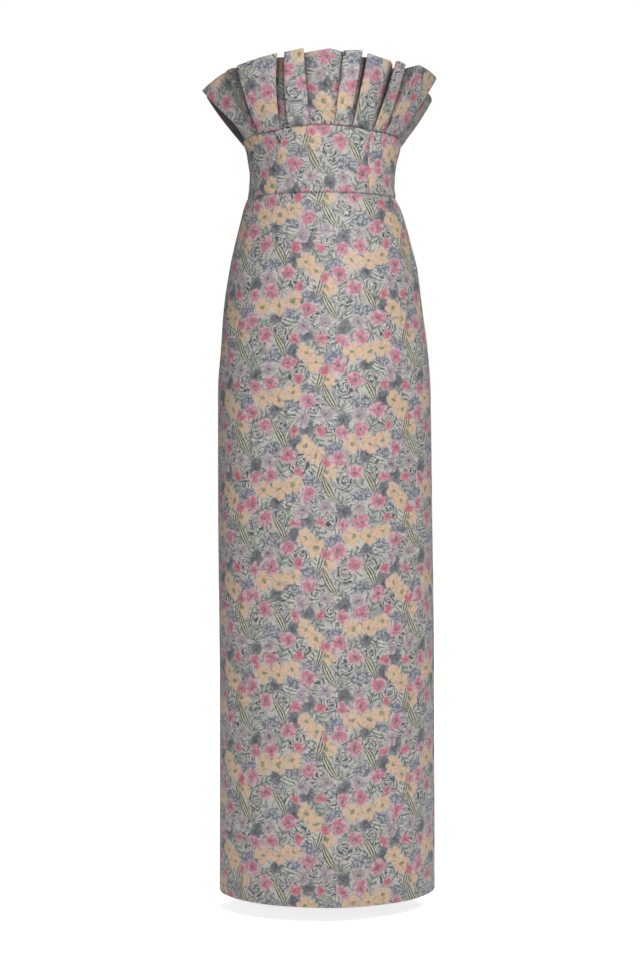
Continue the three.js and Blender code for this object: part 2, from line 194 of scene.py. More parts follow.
def ring_point(ring, angle, out, height):
    """Point on a ring at an angle, moved straight out from it by a distance."""
    side, ahead = math.sin(angle * RAD), math.cos(angle * RAD)
    width = ring["right"] if side > 0 else ring["left"]
    depth = ring["front"] if ahead > 0 else ring["back"]
    facing = Vector((side / width, -ahead / depth)).normalized()
    return Vector((width * side + out * facing.x, -depth * ahead + out * facing.y, height))


def section_at(height):
    return {side: along(SECTIONS, "height", side, height) for side in SIDES}


def top_seam_at(angle):
    return along(TOP_SEAM, "angle", "height", abs(angle))


def ring_lengths(ring):
    """Lengths along a ring from the centre back, one for each degree."""
    lengths = [0.0]
    for degree in range(-CENTRE_BACK + 1, CENTRE_BACK + 1):
        step = ring_point(ring, degree, 0, 0) - ring_point(ring, degree - 1, 0, 0)
        lengths.append(lengths[-1] + step.length)
    return lengths


def length_at(lengths, angle):
    place = angle + CENTRE_BACK
    i = min(max(int(place), 0), len(lengths) - 2)
    return mix(lengths[i], lengths[i + 1], place - i)


def angle_at(lengths, length):
    i = min(max(bisect.bisect_right(lengths, length) - 1, 0), len(lengths) - 2)
    return i - CENTRE_BACK + (length - lengths[i]) / (lengths[i + 1] - lengths[i])


def cloth_piece(name, grid, cloth_uv, painted_shades):
    """A thin shell on a grid of points in millimetres: rows go up, and columns go round towards +X.
    Its own map holds each point's place on the flat cloth, in metres, and a point attribute the
    shade painted into the cloth's colour there."""
    rows, columns = len(grid), len(grid[0])
    points = [tuple(point * MM) for row in grid for point in row]
    corners = [
        (i * columns + j, i * columns + j + 1, (i + 1) * columns + j + 1, (i + 1) * columns + j)
        for i in range(rows - 1)
        for j in range(columns - 1)
    ]
    mesh = bpy.data.meshes.new(name)
    mesh.from_pydata(points, [], corners)
    flat = [place for row in cloth_uv for place in row]
    layer = mesh.uv_layers.new(name="Cloth")
    for loop in mesh.loops:
        across, up = flat[loop.vertex_index]
        layer.data[loop.index].uv = (across * MM, up * MM)
    for polygon in mesh.polygons:
        polygon.use_smooth = True
    # Point attribute holding the shade painted into the cloth's colour at each point
    depth = mesh.attributes.new("PaintedShade", "FLOAT", "POINT")
    for i, value in enumerate(value for row in painted_shades for value in row):
        depth.data[i].value = value
    mesh.materials.append(cloth_face)
    mesh.materials.append(cloth_back)
    piece = bpy.data.objects.new(name, mesh)
    bpy.context.scene.collection.objects.link(piece)
    wall = piece.modifiers.new("wall", "SOLIDIFY")
    wall.thickness = CLOTH * MM
    wall.offset = 0
    wall.use_rim = True
    wall.material_offset = 1
    return piece


# Places of the points nearest to a seam, and how many times the last of them lies clear of the next
SEAM_STEPS = (1.2, 3, 6)
STEP_CLEAR = 1.4


def spaced(count, length):
    """Shares along a side of that length: even steps, with closer ones beside both ends."""
    edge = [step / length for step in SEAM_STEPS]
    even = [i / count for i in range(count + 1)]
    clear = edge[-1] * STEP_CLEAR
    kept = [share for share in even if clear < share < 1 - clear]
    return [0, *edge, *kept, *[1 - share for share in reversed(edge)], 1]


# How deep cloth sinks at a seam and how far beside it, how dark the shade painted along its line is,
# and the height, reach and lengths of the ripples along it
SEAM_DIP = 0.9
SEAM_REACH = 2.6
SEAM_PAINTED_SHADE = {"across": 0.46, "upright": 0.24, "reach": 1.4}
PUCKER = {"height": 0.45, "reach": 11, "short": 2.9, "middle": 4.7, "long": 31}

# Slow waves of the hanging skirt: drop over which they grow, and how many go round
HANG = {"grow": 420, "wide": 5, "narrow": 9, "lean": 260, "wide_out": 0.9, "narrow_out": 0.6}


def seam_dip(distance):
    """How far cloth sinks beside a seam."""
    return SEAM_DIP * math.exp(-((distance / SEAM_REACH) ** 2))


def painted_seam_shade(kind, distance):
    """How dark the shade painted along the sunk line of a seam is, from 0 to 1."""
    return SEAM_PAINTED_SHADE[kind] * math.exp(-((distance / SEAM_PAINTED_SHADE["reach"]) ** 2))


def pucker(around, distance):
    """Small ripples of the cloth along a seam that crosses the grain."""
    swell = math.sin(around / PUCKER["middle"] + 1.3) * math.sin(around / PUCKER["long"])
    wave = math.sin(around / PUCKER["short"]) + 0.8 * swell
    return PUCKER["height"] * wave * math.exp(-((distance / PUCKER["reach"]) ** 2))


def hang(angle, height):
    """Slow unevenness of cloth that hangs from the hips, none at the waist."""
    wide = HANG["wide_out"] * math.sin(HANG["wide"] * angle * RAD + 0.6)
    lean = 2.1 - height / HANG["lean"]
    narrow = HANG["narrow_out"] * math.sin(HANG["narrow"] * angle * RAD + lean)
    return ease(-height / HANG["grow"]) * (wide + narrow)


# Mean half width of the body, which sets the steps across a panel
BODY = 140


def body_panel(start, end, foot, head, rows, columns, cross_seams, shift):
    """Points, cloth places and the shade painted along the seams of a panel between two upright seams.
    Start and end give an angle at a share of the height, foot and head a height at an angle, and shift
    moves the print."""
    lengths = {}
    grid, places, painted_shades = [], [], []
    tall = abs(head(0) - foot(0))
    for up in spaced(rows, tall):
        from_angle, to_angle = start(up), end(up)
        middle = (start(0) + end(0)) / 2
        wide = abs(to_angle - from_angle) * RAD * BODY
        row, flat, dark = [], [], []
        for across in spaced(columns, wide):
            angle = mix(from_angle, to_angle, across)
            height = mix(foot(angle), head(angle), up)
            ring = section_at(height)
            key = round(height)
            if key not in lengths:
                lengths[key] = ring_lengths(section_at(key))
            reach = length_at(lengths[key], angle) - length_at(lengths[key], middle)
            edge = length_at(lengths[key], from_angle), length_at(lengths[key], to_angle)
            here = length_at(lengths[key], angle)
            beside = min(here - edge[0], edge[1] - here)
            inside = CLOTH / 2 + seam_dip(beside)
            # Shade painted into the cloth's colour along the sunk seams
            shade = painted_seam_shade("upright", beside)
            for seam in cross_seams:
                distance = abs(height - seam(angle))
                inside += seam_dip(distance) - pucker(here, distance)
                shade = max(shade, painted_seam_shade("across", distance))
            inside -= hang(angle, height)
            ends = (SEAM_GAP / 2) / max(edge[1] - edge[0], 1) * (to_angle - from_angle)
            if across == 0:
                angle += ends
            if across == 1:
                angle -= ends
            row.append(ring_point(ring, angle, -inside, height))
            flat.append((reach + shift[0], height + shift[1]))
            dark.append(shade)
        grid.append(row)
        places.append(flat)
        painted_shades.append(dark)
    return grid, places, painted_shades


def fixed(value):
    return lambda place: value


def princess(side):
    return lambda up: side * mix(PRINCESS_AT_WAIST, PRINCESS_AT_TOP, up)


def ruffle_ring(level):
    """Ring that the ruffle follows between its seam, level 0, and its free edge, level 1."""
    flare = level * mix(FLARE_START, 1, level)
    return {side: mix(RUFFLE_SEAM_RING[side], RUFFLE_EDGE_RING[side], flare) for side in SIDES}


def back_folds():
    """Folds of the back on the +X side, from the side seam to the centre back."""
    folds = []
    for k in range(BACK_PLEATS["count"]):
        seam = BACK_PLEATS["first"] + BACK_PLEATS["step"] * k
        share = (seam - SIDE_SEAM) / (CENTRE_BACK - SIDE_SEAM)
        edge = seam + BACK_PLEATS["fan"] * (1 - share)
        overlap, ripple = BACK_PLEATS["overlap"], BACK_EDGE["ripple"]
        top = mix(BACK_EDGE["side"], BACK_EDGE["centre"], share) + ripple * (k % 2)
        folds += table(
            ("kind", "seam", "edge", "out", "top"),
            ("valley", seam + overlap, edge + overlap, BACK_EDGE["in"], top - ripple),
            ("crest", seam, edge, BACK_EDGE["out"], top),
        )
    return folds


def ruffle_folds():
    """All folds round the ruffle, from the centre back on the -X side to that on the +X side."""
    right = back_folds()
    left = [{**fold, "seam": -fold["seam"], "edge": -fold["edge"]} for fold in reversed(right)]
    ends = [
        {"kind": "end", "seam": angle, "edge": angle, "out": 0, "top": BACK_EDGE["centre"]}
        for angle in (-CENTRE_BACK, CENTRE_BACK)
    ]
    return [ends[0], *left, *FRONT_FOLDS, *right, ends[1]]


def pleat_plan(folds, level, lengths):
    """Plan of the pleated strip at one level, as a band drawn tight round a small pin at each fold.
    Each station has its length round the ring, its distance out, and the fold and share it is at."""
    pins = []
    for fold in folds:
        kind = FOLD_KINDS[fold["kind"]]
        reach = kind["turn"] * mix(kind["seam_bend"], kind["edge_bend"], level)
        length = length_at(lengths, mix(fold["seam"], fold["edge"], level))
        out = mix(kind["seat"], fold["out"], level) - reach
        pins.append((Vector((length, out)), reach, kind["turn"]))
    headings = []
    for (at, reach, _), (after, after_reach, _) in zip(pins, pins[1:]):
        run = after - at
        lean = math.asin((reach - after_reach) / run.length)
        headings.append(math.atan2(run.y, run.x) - lean)

    def beside(pin, heading):
        return pin[0] + Vector((-math.sin(heading), math.cos(heading))) * pin[1]

    stations = []
    for i, pin in enumerate(pins):
        first, last = headings[max(i - 1, 0)], headings[min(i, len(headings) - 1)]
        sweep = (pin[2] * (first - last)) % (2 * math.pi)
        if sweep > 1.5 * math.pi:
            sweep -= 2 * math.pi
        steps = BEND_STEPS if pin[2] else 0
        for k in range(steps + 1):
            heading = first - pin[2] * sweep * (k / steps if steps else 0)
            stations.append((beside(pin, heading), i, 0))
        if i < len(pins) - 1:
            begin, end = stations[-1][0], beside(pins[i + 1], headings[i])
            for k in range(1, PANEL_STEPS):
                stations.append((begin.lerp(end, k / PANEL_STEPS), i, k / PANEL_STEPS))
    return stations


def ruffle_foot_at(angle):
    return top_seam_at(angle) + SEAM_GAP / 2


# Seam allowance of the ruffle, turned in behind the bodice: how far down it reaches, the cloth in the
# turn, how far inside it lies, the share of the pleats' depth left in it, and the shade painted on it
TURN = {"drop": 6, "round": 4, "out": -2.8, "spread": 0.12, "dark": 0.558}

# How far a fold must stand out before shade is painted on the cloth beside it, and how far that painted
# shade reaches
PAINTED_OVERHANG_SHADE = {"least": 1.5, "most": 8.5, "near": 6, "far": 15, "deep": 30, "dark": 0.93}


def painted_crease_shade(folds, level, lengths, plan):
    """Shade painted at each station, from 0 to 1: that set at its folds, and that under the folds
    that stand out beside it.
    """
    edges = []
    for fold in folds:
        if fold["kind"] == "crest":
            around = length_at(lengths, mix(fold["seam"], fold["edge"], level))
            edges.append((around, mix(FOLD_KINDS["crest"]["seat"], fold["out"], level)))
    shades = [fold.get("shade", 0) for fold in folds]
    painted_shade_row = []
    for at, i, share in plan:
        darkest = min(mix(shades[i], shades[min(i + 1, len(folds) - 1)], share), 1)
        for around, out in edges:
            below = out - at.y
            under = min(max((below - PAINTED_OVERHANG_SHADE["least"]) / PAINTED_OVERHANG_SHADE["most"], 0), 1)
            reach = mix(PAINTED_OVERHANG_SHADE["near"], PAINTED_OVERHANG_SHADE["far"], min(below / PAINTED_OVERHANG_SHADE["deep"], 1))
            if under:
                darkest = max(darkest, under * math.exp(-abs(at.x - around) / reach))
        painted_shade_row.append(PAINTED_OVERHANG_SHADE["dark"] * darkest)
    return painted_shade_row


def run_round(plan):
    """Length of cloth from the first station of a plan to each, with 0 at the middle."""
    run = [0.0]
    for (before, _, _), (at, _, _) in zip(plan, plan[1:]):
        run.append(run[-1] + (at - before).length)
    middle = run[len(run) // 2]
    return [length - middle for length in run]


def panel_shares(folds, plan):
    """The middle station of each panel between sharp folds, and for each station the panels before
    and after its fold and how far it has turned from one to the other."""
    panel, bends, runs = 0, {}, {}
    shares = []
    for j, (_, i, share) in enumerate(plan):
        sharp = folds[i]["kind"] in ("crest", "valley")
        if sharp and share == 0 and i not in bends:
            bends[i] = 0
            panel += 1
        if sharp and share == 0:
            shares.append((panel - 1, panel, bends[i] / BEND_STEPS))
            bends[i] += 1
        else:
            shares.append((panel, panel, 0))
            runs.setdefault(panel, []).append(j)
    return [runs[k][len(runs[k]) // 2] for k in range(panel + 1)], shares


def pleated_strip():
    """Points of the whole ruffle, their places on the flat strip and the shade painted into their
    colour in its folds, a row for each level."""
    folds = ruffle_folds()
    seam_lengths = ring_lengths(ruffle_ring(0))
    seam_plan = pleat_plan(folds, 0, seam_lengths)
    feet = [ruffle_foot_at(angle_at(seam_lengths, at.x)) for at, _, _ in seam_plan]
    heads = [
        mix(folds[i]["top"], folds[min(i + 1, len(folds) - 1)]["top"], share)
        for _, i, share in seam_plan
    ]
    edge_plan = pleat_plan(folds, 1, ring_lengths(ruffle_ring(1)))
    edge_run = run_round(edge_plan)
    middles, shares = panel_shares(folds, edge_plan)
    grid, places, painted_shades = [], [], []
    for step in range(RUFFLE_LEVELS + 1):
        level = step / RUFFLE_LEVELS
        ring = ruffle_ring(level)
        lengths = ring_lengths(ring)
        plan = pleat_plan(folds, level, lengths)
        row = [
            ring_point(ring, angle_at(lengths, at.x), at.y, mix(feet[j], heads[j], level))
            for j, (at, _, _) in enumerate(plan)
        ]
        run = run_round(plan)
        moves = [edge_run[middle] - run[middle] for middle in middles]
        if grid:
            rise = [below[1] + (row[j] - grid[-1][j]).length for j, below in enumerate(places[-1])]
        else:
            rise = [0.0] * len(row)
        grid.append(row)
        places.append(
            [
                (run[j] + mix(moves[before], moves[after], share), rise[j])
                for j, (before, after, share) in enumerate(shares)
            ]
        )
        painted_shades.append(painted_crease_shade(folds, level, lengths, plan))
    drops = (TURN["drop"], 0)
    turned = [turned_in(seam_plan, seam_lengths, feet, drop) for drop in drops]
    flat = [[(across, up - drop - TURN["round"]) for across, up in places[0]] for drop in drops]
    # Shade painted on the turned-in seam allowance
    dark = [TURN["dark"]] * len(feet)
    return turned + grid, flat + places, [dark, dark] + painted_shades


def turned_in(plan, lengths, feet, drop):
    """A row of the ruffle's seam allowance, pressed flat inside the bodice's top."""
    ring = ruffle_ring(0)
    return [
        ring_point(ring, angle_at(lengths, at.x), TURN["out"] + TURN["spread"] * at.y, foot - drop)
        for (at, _, _), foot in zip(plan, feet)
    ]


def ink(code):
    """Linear colour of a dye given as red, green and blue from 0 to 255."""
    return tuple(
        (part / 255 / 12.92 if part < 11 else ((part / 255 + 0.055) / 1.055) ** 2.4) for part in code
    ) + (1,)


class Draft:
    """One tree of nodes being drawn up. Each call adds a node and gives back one of its outputs."""

    def __init__(self, tree):
        self.tree = tree

    def add(self, kind, values=(), out=0, **settings):
        made = self.tree.nodes.new(kind)
        for setting, value in settings.items():
            setattr(made, setting, value)
        pairs = values.items() if isinstance(values, dict) else enumerate(values)
        for socket, value in pairs:
            if isinstance(value, bpy.types.NodeSocket):
                self.tree.links.new(value, made.inputs[socket])
            elif value is not None:
                made.inputs[socket].default_value = value
        return made.outputs[out]

    def math(self, operation, *values):
        return self.add("ShaderNodeMath", values, operation=operation)

    def times(self, *values):
        return self.math("MULTIPLY", *values)

    def scaled(self, *values):
        """The first value times the second, plus the third."""
        return self.math("MULTIPLY_ADD", *values)

    def plus(self, *values):
        return self.math("ADD", *values)

    def less(self, *values):
        return self.math("SUBTRACT", *values)

    def most(self, *values):
        return self.math("MAXIMUM", *values)

    def size(self, value):
        return self.math("ABSOLUTE", value)

    def sine(self, value):
        return self.math("SINE", value)

    def vector(self, operation, *values, out=0):
        return self.add("ShaderNodeVectorMath", values, out=out, operation=operation)

    def point(self, x=0.0, y=0.0, z=0.0):
        return self.add("ShaderNodeCombineXYZ", (x, y, z))

    def parts(self, vector):
        split = self.add("ShaderNodeSeparateXYZ", (vector,)).node
        return split.outputs[0], split.outputs[1], split.outputs[2]

    def band(self, value, low, high, first=0.0, second=1.0):
        """Smooth step of a value from first at low to second at high."""
        settings = {"interpolation_type": "SMOOTHSTEP", "clamp": True}
        return self.add("ShaderNodeMapRange", (value, low, high, first, second), **settings)

    def dye(self, share, under, over):
        return self.add("ShaderNodeMix", {0: share, 6: under, 7: over}, out=2, data_type="RGBA")

    def noise(self, place, scale, detail=1.0, rough=0.5, out=0):
        values = {"Vector": place, "Scale": scale, "Detail": detail, "Roughness": rough}
        return self.add("ShaderNodeTexNoise", values, out=out, noise_dimensions="2D")

    def use(self, group, **values):
        made = self.tree.nodes.new("ShaderNodeGroup")
        made.node_tree = group
        for name, value in values.items():
            socket = made.inputs[name]
            if isinstance(value, bpy.types.NodeSocket):
                self.tree.links.new(value, socket)
            else:
                socket.default_value = value
        return made.outputs


def node_group(name, inputs, outputs):
    """A new node group with named sockets, and the draft and inputs to fill it with."""
    group = bpy.data.node_groups.new(name, "ShaderNodeTree")
    for socket, kind in inputs:
        group.interface.new_socket(socket, in_out="INPUT", socket_type="NodeSocket" + kind)
    for socket, kind in outputs:
        group.interface.new_socket(socket, in_out="OUTPUT", socket_type="NodeSocket" + kind)
    given = group.nodes.new("NodeGroupInput").outputs
    result = group.nodes.new("NodeGroupOutput").inputs
    return group, Draft(group), given, result


# The print repeats every REPEAT down the cloth, and the next column sits half a repeat lower.
REPEAT = 0.150
HALF_DROP = 0.5


def stamp_group():
    """Keeps the nearer of two motifs of one kind: the best so far, and one more place on the repeat."""
    group, draft, given, result = node_group(
        "print_stamp",
        [("Cloth", "Vector"), ("Centre", "Vector"), ("Across", "Vector"), ("Up", "Vector")]
        + [("Best", "Vector"), ("Distance", "Float"), ("Tone", "Float"), ("Own Tone", "Float")],
        [("Best", "Vector"), ("Distance", "Float"), ("Tone", "Float")],
    )
    half = (REPEAT / 2, REPEAT / 2, 0)
    most = draft.vector("ADD", given["Centre"], half)
    least = draft.vector("SUBTRACT", given["Centre"], half)
    wrapped = draft.vector("WRAP", given["Cloth"], most, least)
    local = draft.vector("SUBTRACT", wrapped, given["Centre"])
    across = draft.vector("DOT_PRODUCT", local, given["Across"], out=1)
    up = draft.vector("DOT_PRODUCT", local, given["Up"], out=1)
    place = draft.point(across, up)
    reach = draft.vector("LENGTH", place, out=1)
    nearer = draft.math("LESS_THAN", reach, given["Distance"])
    best = {0: nearer, 4: given["Best"], 5: place}
    tone = {0: nearer, 2: given["Tone"], 3: given["Own Tone"]}
    links = group.links
    links.new(draft.add("ShaderNodeMix", best, out=1, data_type="VECTOR"), result["Best"])
    links.new(draft.math("MINIMUM", reach, given["Distance"]), result["Distance"])
    links.new(draft.add("ShaderNodeMix", tone, data_type="FLOAT"), result["Tone"])
    return group


def bloom_group():
    """An open flower seen from the front, in a circle of radius 1."""
    group, draft, given, result = node_group(
        "print_bloom",
        [("Place", "Vector"), ("Distance", "Float"), ("Petals", "Float"), ("Tone", "Float")]
        + [("Grain", "Float"), ("Heart", "Color"), ("Petal", "Color"), ("Rim", "Color")]
        + [("Line", "Color")],
        [("Color", "Color"), ("Mask", "Float")],
    )
    x, y, _ = draft.parts(given["Place"])
    r = given["Distance"]
    turn = draft.plus(draft.math("ARCTAN2", y, x), draft.times(given["Tone"], 5.0))
    swirl = draft.scaled(r, 0.5, turn)
    half_petals = draft.times(given["Petals"], 0.5)
    lobe = draft.size(draft.math("COSINE", draft.times(swirl, half_petals)))
    edge = draft.scaled(draft.math("POWER", lobe, 0.6), 0.26, 0.72)
    out = draft.math("DIVIDE", r, edge)
    rim = draft.band(out, 0.35, 0.95)
    streak = draft.sine(draft.times(swirl, 23.0))
    rim = draft.scaled(streak, 0.13, rim)
    rim = draft.plus(rim, draft.band(given["Grain"], 0.35, 0.65, -0.5, 0.5))
    gap = draft.times(draft.band(lobe, 0.08, 0.3, 1.0, 0.0), draft.band(r, 0.2, 0.5))
    ring = draft.band(draft.size(draft.less(r, 0.5)), 0.0, 0.07, 0.45, 0.0)
    ring = draft.times(ring, draft.band(streak, -0.6, 0.5))
    colour = draft.dye(rim, given["Petal"], given["Rim"])
    colour = draft.dye(draft.most(gap, ring), colour, given["Line"])
    heart = draft.band(draft.scaled(streak, 0.05, r), 0.13, 0.27, 1.0, 0.0)
    colour = draft.dye(heart, colour, given["Heart"])
    group.links.new(colour, result["Color"])
    group.links.new(draft.band(out, 0.82, 1.02, 0.94, 0.0), result["Mask"])
    return group


def rose_group():
    """A full flower drawn in pen lines that wind outwards, in a circle of radius 1."""
    group, draft, given, result = node_group(
        "print_rose",
        [("Place", "Vector"), ("Distance", "Float"), ("Tone", "Float"), ("Grain", "Float")]
        + [("Light", "Color"), ("Shade", "Color"), ("Line", "Color")],
        [("Color", "Color"), ("Mask", "Float")],
    )
    x, y, _ = draft.parts(given["Place"])
    angle = draft.math("ARCTAN2", y, x)
    r = given["Distance"]
    wobble = draft.less(given["Grain"], 0.5)
    wind = draft.scaled(r, 3.3, draft.math("DIVIDE", angle, 2 * math.pi))
    wind = draft.plus(wind, draft.times(wobble, 1.5))
    petal = draft.sine(draft.scaled(angle, 3.0, draft.times(r, 9.0)))
    wind = draft.scaled(petal, 0.12, wind)
    turn = draft.math("FRACT", draft.plus(wind, given["Tone"]))
    line = draft.band(draft.size(draft.less(turn, 0.5)), 0.12, 0.3, 1.0, 0.0)
    line = draft.times(line, draft.band(petal, -0.9, 0.0, 0.35, 1.0))
    colour = draft.dye(turn, given["Light"], given["Shade"])
    colour = draft.dye(line, colour, given["Line"])
    edge = draft.scaled(petal, 0.07, r)
    group.links.new(colour, result["Color"])
    group.links.new(draft.band(edge, 0.9, 0.98, 1.0, 0.0), result["Mask"])
    return group


def leaf_group():
    """A long leaf from -1 to 1, pointed at both ends, with veins that follow its sides."""
    group, draft, given, result = node_group(
        "print_leaf",
        [("Place", "Vector"), ("Veins", "Float"), ("Light", "Color"), ("Dark", "Color")],
        [("Color", "Color"), ("Mask", "Float")],
    )
    x, y, _ = draft.parts(given["Place"])
    width = draft.most(draft.less(1.0, draft.times(x, x)), 0.001)
    bow = draft.scaled(width, 0.35, y)
    side = draft.math("DIVIDE", bow, width)
    vein = draft.sine(draft.times(side, given["Veins"]))
    stripe = draft.band(vein, -0.35, 0.45)
    stripe = draft.times(stripe, draft.band(x, -0.95, -0.3, 0.45, 1.0))
    colour = draft.dye(stripe, given["Dark"], given["Light"])
    inside = draft.band(draft.size(side), 0.8, 0.95, 1.0, 0.0)
    group.links.new(colour, result["Color"])
    group.links.new(draft.times(inside, draft.band(width, 0.01, 0.08)), result["Mask"])
    return group


def sprig_group():
    """A stem from -1 to 1 with small leaves in pairs."""
    group, draft, given, result = node_group(
        "print_sprig",
        [("Place", "Vector"), ("Light", "Color"), ("Dark", "Color"), ("Line", "Color")],
        [("Color", "Color"), ("Mask", "Float")],
    )
    x, y, _ = draft.parts(given["Place"])
    aside = draft.size(y)
    along_stem = draft.scaled(aside, -0.9, draft.times(x, 2.2))
    step = draft.math("FRACT", draft.plus(along_stem, 4.0))
    leaflet = draft.times(draft.times(step, draft.less(1.0, step)), 4.0)
    taper = draft.less(1.0, draft.times(x, x))
    room = draft.less(draft.times(taper, 1.05), aside)
    body = draft.times(draft.band(leaflet, 0.25, 0.5), draft.band(room, 0.0, 0.15))
    rib = draft.band(draft.size(draft.less(step, 0.55)), 0.03, 0.12, 1.0, 0.0)
    stem = draft.times(draft.band(aside, 0.05, 0.12, 1.0, 0.0), draft.band(taper, 0.0, 0.1))
    colour = draft.dye(draft.band(leaflet, 0.5, 0.95), given["Light"], given["Dark"])
    colour = draft.dye(draft.most(rib, stem), colour, given["Line"])
    group.links.new(colour, result["Color"])
    group.links.new(draft.most(body, stem), result["Mask"])
    return group


# Chart of the repeat, drawn up: kind, place of the motif across and up in millimetres, half
# its length, half its width, its turn in degrees, and its tone from 0 to 1
MOTIFS = table(
    ("kind", "x", "y", "long", "wide", "turn", "tone"),
    ("frond", 52, 104, 30, 13, 28, 0.2),
    ("frond", 128, 68, 31, 13, 140, 0.5),
    ("frond", 20, 46, 29, 12, 95, 0.8),
    ("frond", 96, 18, 30, 13, -18, 0.4),
    ("frond", 96, 132, 28, 12, 62, 0.6),
    ("rose", 36, 128, 22, 20, 10, 0.1),
    ("rose", 112, 82, 24, 21, 60, 0.4),
    ("rose", 66, 60, 21, 19, 140, 0.7),
    ("rose", 138, 20, 21, 20, 200, 0.9),
    ("rose", 12, 66, 19, 20, 40, 0.3),
    ("rose", 78, 146, 20, 17, 300, 0.55),
    ("cluster", 66, 106, 23, 11, 12, 0.2),
    ("cluster", 132, 52, 21, 10, -14, 0.5),
    ("cluster", 14, 30, 21, 10, 20, 0.8),
    ("cluster", 98, 26, 18, 9, -30, 0.4),
    ("slate", 102, 112, 20, 14, 80, 0.2),
    ("slate", 34, 76, 19, 13, 60, 0.5),
    ("slate", 124, 140, 15, 18, 0, 0.8),
    ("slate", 72, 20, 18, 12, 50, 0.3),
    ("sprig", 84, 80, 23, 10, 70, 0.2),
    ("sprig", 142, 116, 21, 10, -60, 0.5),
    ("sprig", 48, 6, 21, 10, 25, 0.8),
    ("sprig", 22, 102, 20, 9, 130, 0.4),
    ("peach", 138, 94, 18, 19, 8, 0.15),
    ("peach", 6, 142, 19, 18, 60, 0.5),
    ("peach", 100, 46, 18, 16, 4, 0.7),
    ("peach", 76, 38, 18, 18, 12, 0.2),
    ("peach", 48, 38, 18, 19, 100, 0.9),
    ("peach", 122, 110, 17, 18, 45, 0.35),
    ("mauve", 58, 84, 16, 14, 0, 0.3),
    ("mauve", 116, 4, 16, 14, 70, 0.6),
    ("mauve", 4, 86, 15, 14, 20, 0.9),
    ("leaf", 12, 114, 29, 8, -62, 0.3),
    ("leaf", 76, 124, 27, 8, 118, 0.8),
    ("leaf", 144, 72, 26, 8, 75, 0.1),
    ("pink", 52, 142, 16, 15, 0, 0.2),
    ("pink", 92, 94, 17, 15, 30, 0.5),
    ("pink", 26, 14, 16, 15, 80, 0.8),
    ("pink", 62, 62, 15, 15, 10, 0.35),
    ("pink", 126, 32, 16, 14, 55, 0.65),
    ("pink", 32, 56, 14, 13, 75, 0.1),
    ("coral", 104, 134, 11, 10, 0, 0.4),
    ("coral", 110, 68, 10, 10, 30, 0.7),
    ("coral", 146, 134, 10, 11, 60, 0.2),
    ("coral", 4, 8, 10, 10, 60, 0.5),
)

# Blooms: number of petals, and the dyes of heart, petal, rim and drawn line
BLOOMS = table(
    ("kind", "petals", "heart", "petal", "rim", "line"),
    ("slate", 6.0, (64, 67, 75), (93, 96, 104), (132, 135, 139), (72, 75, 83)),
    ("mauve", 5.0, (112, 104, 106), (164, 146, 154), (190, 182, 182), (136, 122, 130)),
    ("peach", 4.0, (126, 134, 106), (218, 182, 148), (204, 184, 164), (192, 156, 132)),
    ("pink", 5.0, (124, 96, 98), (192, 112, 134), (206, 172, 180), (164, 92, 112)),
    ("coral", 5.0, (148, 82, 98), (194, 104, 122), (206, 156, 160), (158, 84, 102)),
)


